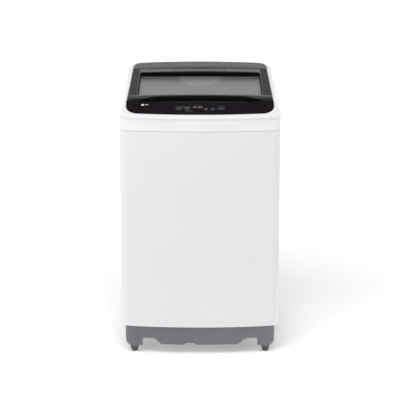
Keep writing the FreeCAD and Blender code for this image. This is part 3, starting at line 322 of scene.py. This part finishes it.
def smoked_pane(name, shade, alpha, roughness=0.05, shine=0.5):
    """Tinted clear plastic: part of the light goes straight through, the rest shows tint and reflections."""
    surface = Surface(name, roughness, Alpha=alpha, IOR=1.5, Specular_IOR_Level=shine)
    surface.colour(shade * 0.85, shade * 1.2, 4.0)
    surface.gloss(roughness * 0.92, roughness * 1.08, 25.0)
    surface.bump(surface.noise(35.0, 2.0), 0.04, 0.00003)
    return surface


def window_pane(name):
    """Smoked lid window with a painted reflection: the tint is paler in an oval at the middle of its rear
    edge.
    """
    surface = smoked_pane(name, 0.15, 0.84, 0.3, 0.28)
    half_width, depth, rear = 0.0855, 0.125, 0.135
    across = surface.axis("X", 1.0 / half_width)
    along = surface.axis("Y", 1.0 / depth, -rear / depth)
    spread = surface.tree.nodes.new("ShaderNodeCombineXYZ")
    surface.link(across, spread.inputs["X"])
    surface.link(along, spread.inputs["Y"])
    length = surface.tree.nodes.new("ShaderNodeVectorMath")
    length.operation = "LENGTH"
    surface.link(spread.outputs["Vector"], length.inputs[0])
    # painted reflection: the tint is made paler in an oval at the middle of the rear edge
    painted_reflection = surface.ramp(length.outputs["Value"], 0.235, 0.150, 0.80, 1.0)
    grain = surface.ramp(surface.noise(30.0, 3.0), 0.93, 1.0)
    surface.link(surface.both(painted_reflection, grain), surface.shader.inputs["Base Color"])
    return surface


def copper(name):
    surface = Surface(name, 0.3, 1.0, Coat_Weight=0.5)
    surface.colour((0.42, 0.13, 0.05), (0.66, 0.28, 0.12), 60.0)
    surface.bump(surface.noise(500.0, 2.0, (1.0, 1.0, 6.0)), 0.6, 0.0002)
    return surface


def printed(name, shade, glow=0.0):
    """Screen-printed ink, or a lit segment when it glows."""
    surface = Surface(name, 0.5)
    surface.colour([v * 0.9 for v in shade], shade, 900.0)
    surface.bump(surface.noise(1500.0, 1.0), 0.3, 0.00001)
    if glow:
        surface.set("Emission Color", grey(shade))
        surface.set("Emission Strength", glow)
    return surface


def make_materials():
    """Every material slot of the record, by name."""
    along_z, along_x = (9.0, 9.0, 0.6), (0.5, 9.0, 9.0)
    round_z = (0.4, 0.4, 12.0)
    table = {
        "white_steel": enamel("white_steel", (0.78, 0.78, 0.80), (0.81, 0.81, 0.83)),
        "white_plastic": moulded("white_plastic", (0.82, 0.822, 0.845), (0.86, 0.862, 0.878),
                                 0.34, 0.00001, 500.0, 0.1),
        "base_grey": moulded("base_grey", (0.150, 0.150, 0.163), (0.180, 0.180, 0.193), 0.5),
        "black_gloss": black_gloss("black_gloss"),
        "charcoal_plastic": lid_plastic("charcoal_plastic"),
        "black_plastic": moulded("black_plastic", (0.010, 0.010, 0.010), (0.020, 0.020, 0.021), 0.42),
        "key_black": moulded("key_black", (0.016, 0.014, 0.018), (0.026, 0.022, 0.028),
                             0.24, 0.00002, 600.0, 0.3),
        "grey_plastic": moulded("grey_plastic", 0.30, 0.38, 0.48),
        "tub_plastic": moulded("tub_plastic", (0.58, 0.58, 0.56), (0.68, 0.68, 0.66), 0.5, 0.0001, 500.0),
        "ring_plastic": moulded("ring_plastic", (0.66, 0.67, 0.69), (0.74, 0.75, 0.77),
                                0.3, 0.00003, 500.0, 0.2),
        "pulsator_plastic": moulded("pulsator_plastic", (0.50, 0.54, 0.59), (0.58, 0.62, 0.67),
                                    0.32, 0.00003, 400.0, 0.2),
        "filter_plastic": moulded("filter_plastic", (0.44, 0.52, 0.60), (0.50, 0.58, 0.66), 0.42),
        "drawer_blue": moulded("drawer_blue", (0.62, 0.68, 0.74), (0.70, 0.75, 0.80), 0.38),
        "circuit_board": moulded("circuit_board", (0.010, 0.085, 0.028), (0.02, 0.13, 0.045),
                                 0.35, 0.0001, 260.0),
        "smoked_glass": window_pane("smoked_glass"),
        "smoked_lens": smoked_pane("smoked_lens", 0.008, 0.6),
        "black_rubber": rubber("black_rubber", 0.012, 0.022),
        "foot_rubber": rubber("foot_rubber", (0.095, 0.095, 0.102), (0.130, 0.130, 0.138)),
        "galvanised": galvanised("galvanised"),
        "zinc_steel": steel("zinc_steel", 0.50, 0.66, 0.35, along_z),
        "stainless": steel("stainless", 0.56, 0.72, 0.26, round_z),
        "shaft_steel": steel("shaft_steel", 0.48, 0.62, 0.25, round_z),
        "bearing_steel": steel("bearing_steel", 0.45, 0.60, 0.22, round_z),
        "spring_steel": steel("spring_steel", 0.16, 0.26, 0.4, along_x),
        "cast_alloy": steel("cast_alloy", 0.42, 0.56, 0.55, (1.0, 1.0, 1.0)),
        "lamination": steel("lamination", 0.10, 0.18, 0.45, (0.3, 0.3, 40.0)),
        "magnet": moulded("magnet", (0.045, 0.045, 0.05), (0.075, 0.075, 0.08), 0.5, 0.00015, 400.0),
        "copper_wire": copper("copper_wire"),
        # near-black rubber; on the grip liner and the grip lip it also serves as painted shade
        "gasket_rubber": rubber("gasket_rubber", 0.001, 0.003, 0.08),
        "ink": printed("ink", (0.15, 0.15, 0.16)),
        "plate_print": printed("plate_print", (0.74, 0.74, 0.74)),
        "lit": printed("lit", (0.42, 0.40, 0.28), 0.10),
        "bright_trim": steel("bright_trim", 0.70, 0.85, 0.3, along_x),
        # painted light: a lighter copy of the lid's charcoal plastic, standing for the light the rear cover
        # catches
        "rear_cover_painted_light": moulded("rear_cover_painted_light", (0.036, 0.036, 0.037), (0.050, 0.050, 0.052), 0.42),
    }
    return {name: surface.material for name, surface in table.items()}


def dress_cad_nodes(materials):
    """Gives each CAD node its slot's material and lightly rounds the edges that show."""
    for part in frame["record"]["subparts"]:
        node = NODES[part["node"]]
        node.data.materials.clear()
        node.data.materials.append(materials[part["material_slot"]])
    # painted light: the rear cover gets the lighter copy of the charcoal plastic
    NODES["rear_cover"].data.materials[0] = materials["rear_cover_painted_light"]
    # painted shade: the grip pocket's liner is near-black, partly its own dark colour and partly the shade
    # inside the pocket
    NODES["grip_liner"].data.materials[0] = materials["gasket_rubber"]
    for name, width in {"control_panel": 1.2, "top_cover": 0.8, "lid_frame": 0.9, "base_frame": 1.5,
                        "cabinet": 0.4, "detergent_drawer": 0.5, "drawer_housing": 0.5}.items():
        soften(NODES[name], width * MM)


def soften(obj, width):
    """Bevel on sharp edges only."""
    bevel = obj.modifiers.new("soft_edges", "BEVEL")
    bevel.width = width
    bevel.segments = 2
    bevel.limit_method = "ANGLE"
    bevel.angle_limit = math.radians(40)
    bevel.use_clamp_overlap = True
    bevel.harden_normals = False



# ---------------------------------------------------------------- pieces in mesh code
def new_piece(name, verts, faces, material, body, smooth=True):
    """Mesh object made from points and faces, with outward normals, that moves with one CAD body."""
    mesh = bpy.data.meshes.new(name)
    mesh.from_pydata([tuple(v) for v in verts], [], faces)
    work = bmesh.new()
    work.from_mesh(mesh)
    bmesh.ops.remove_doubles(work, verts=work.verts, dist=1e-6)
    bmesh.ops.recalc_face_normals(work, faces=work.faces)
    work.to_mesh(mesh)
    work.free()
    if smooth:
        mesh.shade_smooth()
        mesh.set_sharp_from_angle(angle=math.radians(35))
    mesh.materials.append(material)
    obj = bpy.data.objects.new(name, mesh)
    bpy.context.scene.collection.objects.link(obj)
    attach(obj, body)
    return obj


def crown(x, rise):
    """Height at x of an arch that rises by that much over its ends."""
    big = (PANEL_HALF ** 2 + rise * rise) / (2 * rise)
    return math.sqrt(big * big - x * x) - (big - rise)


def panel_point(x, y, up=0.0):
    """Point over the control panel's arched surface; y runs along the floor, up stands off the surface."""
    edge_y, edge_z = PANEL_EDGE
    z = edge_z + PANEL_SLOPE * (y - edge_y) + crown(x, PANEL_CROWN)
    return Vector((x, y - up * math.sin(PANEL_TILT), z + up * math.cos(PANEL_TILT)))


def lid_point(x, y, up=0.0):
    """Point over the lid's arched upper surface."""
    share = (y - LID_EDGE[0]) / LID_LENGTH
    rise = LID_FRONT_CROWN + share * (LID_REAR_CROWN - LID_FRONT_CROWN)
    return Vector((x, y, LID_EDGE[1] + LID_SLOPE * (y - LID_EDGE[0]) + crown(x, rise) + up))


def key_point(centre, x, y, up=0.0):
    """Point on the flat top of a key whose middle lies at centre on the panel."""
    along = math.cos(PANEL_TILT)
    middle = panel_point(*centre)
    dy = y - centre[1]
    flat = Vector((x, y, middle.z + PANEL_SLOPE * dy))
    return flat + Vector((0.0, -math.sin(PANEL_TILT), along)) * up


def prints(name, outlines, place, material, body, low, high):
    """Flat printed shapes: each outline of (x, y) points becomes a thin prism between two stand-offs."""
    verts, faces = [], []
    for outline in outlines:
        start, count = len(verts), len(outline)
        verts += [place(x, y, low) for x, y in outline]
        verts += [place(x, y, high) for x, y in outline]
        faces.append(tuple(range(start + count - 1, start - 1, -1)))
        faces.append(tuple(range(start + count, start + 2 * count)))
        for k in range(count):
            after = (k + 1) % count
            faces.append((start + k, start + after, start + count + after, start + count + k))
    return new_piece(name, verts, faces, material, body, smooth=False)


def bar(x0, x1, y0, y1):
    """Rounded bar outline, in metres from millimetres."""
    r = min(x1 - x0, y1 - y0) / 2 * 0.9
    points = []
    quarters = ((x1 - r, y1 - r, 0), (x0 + r, y1 - r, 90), (x0 + r, y0 + r, 180), (x1 - r, y0 + r, 270))
    for cx, cy, start in quarters:
        for k in range(4):
            turn = math.radians(start + 30 * k)
            points.append(((cx + r * math.cos(turn)) * MM, (cy + r * math.sin(turn)) * MM))
    return points


def loop(cx, cy, rx, ry, width, start=0.0, end=360.0, steps=20):
    """Band along an ellipse as short four-cornered tiles."""
    tiles = []
    count = max(2, round(steps * (end - start) / 360.0))
    for k in range(count):
        a = math.radians(start + (end - start) * k / count)
        b = math.radians(start + (end - start) * (k + 1) / count)
        tiles.append([
            ((cx + rx * math.cos(a)) * MM, (cy + ry * math.sin(a)) * MM),
            ((cx + rx * math.cos(b)) * MM, (cy + ry * math.sin(b)) * MM),
            ((cx + (rx - width) * math.cos(b)) * MM, (cy + (ry - width) * math.sin(b)) * MM),
            ((cx + (rx - width) * math.cos(a)) * MM, (cy + (ry - width) * math.sin(a)) * MM),
        ])
    return tiles


def stroke(x0, y0, x1, y1, width):
    """Straight line of that width, in millimetres."""
    length = math.hypot(x1 - x0, y1 - y0)
    nx, ny = (y0 - y1) / length * width / 2, (x1 - x0) / length * width / 2
    corners = ((x0 + nx, y0 + ny), (x1 + nx, y1 + ny), (x1 - nx, y1 - ny), (x0 - nx, y0 - ny))
    return [(x * MM, y * MM) for x, y in corners]


def label(x0, x1, y, height, gap=0.9):
    """Row of short bars of changing length that stands for a printed word."""
    lengths = (2.4, 1.5, 2.9, 1.8, 2.1, 3.1, 1.6)
    bars, x, k = [], x0, 0
    while x + 1.2 < x1:
        end = min(x + lengths[k % len(lengths)], x1)
        bars.append(bar(x, end, y - height / 2, y + height / 2))
        x, k = end + gap, k + 1
    return bars


def digit(x, y, width, height, lit):
    """Seven-segment figure; lit names the segments that glow."""
    t, half = 0.9, height / 2
    places = {
        "a": (x, x + width, y + half - t, y + half), "g": (x, x + width, y - t / 2, y + t / 2),
        "d": (x, x + width, y - half, y - half + t),
        "f": (x - t * 0.4, x + t * 0.6, y + t * 0.6, y + half - t * 0.4),
        "b": (x + width - t * 0.6, x + width + t * 0.4, y + t * 0.6, y + half - t * 0.4),
        "e": (x - t * 0.4, x + t * 0.6, y - half + t * 0.4, y - t * 0.6),
        "c": (x + width - t * 0.6, x + width + t * 0.4, y - half + t * 0.4, y - t * 0.6),
    }
    return [bar(*places[name]) for name in lit]


KEYS = {
    "power_button": (-0.070, -0.221), "program_button": (-0.043, -0.226), "spin_button": (0.020, -0.226),
    "water_level_button": (0.042, -0.226), "start_pause_button": (0.070, -0.221),
}
PRINT_LOW, PRINT_HIGH = 0.00002, 0.00022
KEY_TOP = 0.0008


def on_panel(x, y, up):
    return panel_point(x, y, up)


def on_key(node):
    """Place function for marks on a key's top."""
    def place(x, y, up):
        return key_point(KEYS[node], x, y, KEY_TOP + up)
    return place


def key_middle(node):
    """Middle of a key on the panel, in millimetres."""
    x, y = KEYS[node]
    return round(x / MM, 3), round(y / MM, 3)


def key_icon(node, name, outlines, ink):
    """Printed icon that rides on its key."""
    prints(name, outlines, on_key(node), ink, node + "_key", PRINT_LOW, PRINT_HIGH)


def key_icons(ink):
    """Oval outlines with a sign in each, and a diamond on the start key."""
    x, y = key_middle("power_button")
    oval = loop(x, y, 8.4, 5.2, 0.8)
    sign = loop(x, y, 3.4, 2.6, 0.7, 130, 410, 12) + [stroke(x, y - 0.2, x, y + 3.4, 0.8)]
    key_icon("power_button", "power_icon", oval + sign, ink)
    x, y = key_middle("program_button")
    word = label(x - 4.5, x + 4.5, y, 1.5)
    key_icon("program_button", "program_icon", loop(x, y, 7.6, 3.4, 0.6) + word, ink)
    small_keys = (("spin_button", "spin_icon", 0.0), ("water_level_button", "water_level_icon", 1.0))
    for node, name, lean in small_keys:
        x, y = key_middle(node)
        dash = stroke(x - 3, y - lean, x + 3, y + lean, 1.3)
        key_icon(node, name, loop(x, y, 6.4, 3.2, 0.6) + [dash], ink)
    x, y = key_middle("start_pause_button")
    wide, tall = 9.0, 4.8
    tips = [(x - wide, y), (x, y + tall), (x + wide, y), (x, y - tall)]
    sides = [stroke(*tips[k], *tips[(k + 1) % 4], 0.9) for k in range(4)]
    sign = [stroke(x - 2.6, y - 1.6, x - 2.6, y + 1.6, 0.9)]
    sign += [stroke(x + gap, y - 1.8, x + gap, y + 1.8, 0.8) for gap in (1.0, 3.0)]
    key_icon("start_pause_button", "start_icon", sides + sign, ink)


def panel_marks(materials):
    """Icons on the keys, labels over them and the lit time display."""
    ink, lit = materials["ink"], materials["lit"]
    key_icons(ink)
    words = label(-48, -25, -234.5, 1.8) + label(13, 27, -217.5, 1.4) + label(35, 49, -217.5, 1.4)
    words += label(-82, -58, -209.0, 1.2) + label(58, 84, -209.0, 1.2)
    program = label(-55, -33, -213.5, 2.2)
    prints("program_label", program, on_panel, lit, "machine", PRINT_LOW, PRINT_HIGH)
    prints("panel_labels", words, on_panel, ink, "machine", PRINT_LOW, PRINT_HIGH)
    row, wide, tall = -212, 4.4, 9.0
    figures = digit(-26, row, wide, tall, "bc") + digit(-18.5, row, wide, tall, "afgcd")
    figures += digit(-5, row, wide, tall, "abcdef") + digit(2.5, row, wide, tall, "abged")
    figures += [bar(-11.2, -9.8, row + 1.6, row + 3.0), bar(-11.2, -9.8, row - 3.0, row - 1.6)]
    prints("display_figures", figures, on_panel, lit, "machine", PRINT_LOW, PRINT_HIGH)
    dots = [bar(x - 0.8, x + 0.8, -201.4, -199.8) for x in range(-56, 78, 12)]
    prints("program_dots", dots, on_panel, ink, "machine", PRINT_LOW, PRINT_HIGH)


def dome(name, centre, rx, ry, height, place, material, body, rings=4, steps=28):
    """Low oval button head with a rounded shoulder, standing on the surface that place() describes."""
    cx, cy = centre
    verts, faces = [], []
    for k in range(rings + 1):
        turn = math.pi / 2 * k / rings
        spread = 0.82 + 0.18 * math.cos(turn)
        up = height * math.sin(turn)
        for j in range(steps):
            angle = 2 * math.pi * j / steps
            verts.append(place(cx + rx * spread * math.cos(angle), cy + ry * spread * math.sin(angle), up))
    for k in range(rings):
        for j in range(steps):
            after = (j + 1) % steps
            faces.append((k * steps + j, k * steps + after, (k + 1) * steps + after, (k + 1) * steps + j))
    faces.append(tuple(range(steps - 1, -1, -1)))
    faces.append(tuple(rings * steps + j for j in range(steps)))
    return new_piece(name, verts, faces, material, body)


def panel_trim(materials):
    """Oval screw caps at the panel's ends and a small plain nameplate."""
    for side, label_side in ((-1, "left"), (1, "right")):
        dome("panel_cap_" + label_side, (side * 0.217, -0.196), 0.0095, 0.0060, 0.0004, on_panel,
             materials["gasket_rubber"], "machine")
    bright = materials["plate_print"]
    dome("nameplate_disc", (-0.192, -0.1955), 0.0050, 0.0050, 0.0005, on_panel, bright, "machine")
    plate = [bar(x, x + 3.0, -197.6, -193.4) for x in (-184.5, -180.3, -176.1)]
    prints("nameplate_bars", plate, on_panel, bright, "machine", PRINT_LOW, 0.0004)


def strip_along(name, line, profile, material, body, closed=False):
    """Solid strip: profile(*station) gives a ring of points, and the rings are joined in order."""
    rings = [profile(*station) for station in line]
    size = len(rings[0])
    verts = [v for ring in rings for v in ring]
    faces = []
    last = len(rings) if closed else len(rings) - 1
    for k in range(last):
        follow = (k + 1) % len(rings)
        for j in range(size):
            after = (j + 1) % size
            faces.append((k * size + j, k * size + after, follow * size + after, follow * size + j))
    if not closed:
        faces.append(tuple(range(size - 1, -1, -1)))
        faces.append(tuple((len(rings) - 1) * size + j for j in range(size)))
    return new_piece(name, verts, faces, material, body)


def grip_lip(materials):
    """Black strip on the lid's curved front edge, full height in the middle and thinning out to the ends:
    partly a black trim and partly painted shade under the lid's front edge over the grip.
    """
    half, full, set_back, rounding, low = 0.224, 0.150, 0.014, 0.008, 0.0174
    grip_half = 0.228
    big = (grip_half ** 2 + set_back ** 2) / (2 * set_back)

    def profile(x):
        y = LID_EDGE[0] + set_back - big + math.sqrt(big * big - x * x)
        top = lid_point(x, y).z
        bottom = LID_EDGE[1] - low
        straight, bend = top - rounding - bottom, rounding * math.radians(48)
        share = min(1.0, (half + 0.004 - abs(x)) / (half - full))
        reach = (straight + bend) * (0.12 + 0.88 * share * share * (3 - 2 * share))
        outline = []
        for out in (0.0006, -0.0004):
            points = []
            for k in range(7):
                run = reach * k / 6
                turn = max(0.0, run - straight) / rounding
                span = rounding + out
                rise = min(run, straight)
                points.append((y + rounding - span * math.cos(turn), bottom + rise + span * math.sin(turn)))
            outline += points if out > 0 else points[::-1]
        return [Vector((x, py, pz)) for py, pz in outline]

    # painted shade: the near-black strip is widest in the middle, where the grip lies under the lid's front
    # edge
    stations = [(-half + 2 * half * k / 48,) for k in range(49)]
    return strip_along("grip_lip", stations, profile, materials["gasket_rubber"], "lid")


def window_gasket(materials):
    """Black lining of the window recess from the pane up to the lid's surface."""
    half, (front, rear), r = 0.2115, (-0.1375, 0.1455), 0.0085
    pane = 0.0126
    line = []
    for cx, cy, start in ((half - r, rear - r, 0), (-half + r, rear - r, 90), (-half + r, front + r, 180),
                          (half - r, front + r, 270)):
        for k in range(7):
            turn = math.radians(start + 15 * k)
            line.append((cx, cy, math.cos(turn), math.sin(turn)))

    def profile(cx, cy, ox, oy):
        points = []
        for reach, top in ((r, True), (r - 0.0016, True), (r - 0.0016, False), (r, False)):
            x, y = cx + ox * reach, cy + oy * reach
            low = LID_EDGE[1] + LID_SLOPE * (y - LID_EDGE[0]) - pane
            points.append(Vector((x, y, lid_point(x, y).z - 0.0009 if top else low)))
        return points

    return strip_along("window_gasket", line, profile, materials["gasket_rubber"], "lid", closed=True)


def perforated_drum(materials):
    """Rolled stainless drum wall with rows of round holes and upright beads pressed inwards."""
    low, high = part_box("drum")
    outer = high[0]
    thick, columns, rows, hole = 0.001, 84, 17, 0.0028
    z0, z1 = low[2], high[2]
    hem = 0.028
    beads_apart, bead_depth, bead_spread = 12, 0.0022, 0.55
    levels = [z0] + [z0 + hem + (z1 - z0 - 2 * hem) * k / rows for k in range(rows + 1)] + [z1]
    step = 2 * math.pi / columns

    def wall_point(turn, z, depth):
        near = (turn / step) % beads_apart - beads_apart / 2
        lift = max(0.0, min(1.0, (z - z0 - 0.02) / 0.02, (z1 - 0.02 - z) / 0.02))
        bead = bead_depth * math.exp(-(near / bead_spread) ** 2) * lift
        radius = outer - depth - bead
        return Vector((radius * math.cos(turn), radius * math.sin(turn), z))

    verts, faces = [], []

    def add(point):
        verts.append(point)
        return len(verts) - 1

    ways = ((-1, -1), (0, -1), (1, -1), (1, 0), (1, 1), (0, 1), (-1, 1), (-1, 0))
    angles = [math.atan2(sz, sx) for sx, sz in ways]
    for column in range(columns):
        turn = column * step
        on_bead = abs((turn / step) % beads_apart - beads_apart / 2) < 0.7
        for k in range(len(levels) - 1):
            a, b = levels[k], levels[k + 1]
            mid, rise = (a + b) / 2, (b - a) / 2
            solid = k == 0 or k == len(levels) - 2 or on_bead
            frames = []
            for depth in (0.0, thick):
                frames.append([add(wall_point(turn + sx * step / 2, mid + sz * rise, depth))
                               for sx, sz in ways])
            if solid:
                faces.append(tuple(frames[0]))
                faces.append(tuple(reversed(frames[1])))
            else:
                rims = []
                for depth in (0.0, thick):
                    rims.append([add(wall_point(turn + hole * math.cos(angle) / outer,
                                                mid + hole * math.sin(angle), depth)) for angle in angles])
                for j in range(8):
                    after = (j + 1) % 8
                    faces.append((frames[0][j], frames[0][after], rims[0][after], rims[0][j]))
                    faces.append((frames[1][after], frames[1][j], rims[1][j], rims[1][after]))
                    faces.append((rims[0][j], rims[0][after], rims[1][after], rims[1][j]))
            if k == 0:
                faces.append((frames[0][1], frames[0][0], frames[1][0], frames[1][1]))
                faces.append((frames[0][2], frames[0][1], frames[1][1], frames[1][2]))
            if k == len(levels) - 2:
                faces.append((frames[0][6], frames[0][5], frames[1][5], frames[1][6]))
                faces.append((frames[0][5], frames[0][4], frames[1][4], frames[1][5]))
    drum = new_piece("perforated_drum", verts, faces, materials["stainless"], "basket")
    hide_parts("drum")
    return drum


def rating_plate(materials):
    """Blank data plate on the back panel: a silver label with grey rows."""
    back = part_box("back_panel")[1][1]

    def place(x, z, up):
        return Vector((x, back + up, z))

    thick = 0.0002
    silver = materials["bright_trim"]
    prints("rating_plate", [bar(-190, -110, 560, 612)], place, silver, "machine", 0.0, thick)
    lengths = (46, 66, 58, 70, 40, 62, 52)
    rows = [bar(-186, -186 + length, 602 - 6 * k, 604 - 6 * k) for k, length in enumerate(lengths)]
    prints("rating_rows", rows, place, materials["base_grey"], "machine", thick, thick + 0.0001)


make_camera()
make_studio()
render_settings()
MATERIALS = make_materials()
dress_cad_nodes(MATERIALS)
panel_marks(MATERIALS)
panel_trim(MATERIALS)
grip_lip(MATERIALS)
window_gasket(MATERIALS)
perforated_drum(MATERIALS)
rating_plate(MATERIALS)
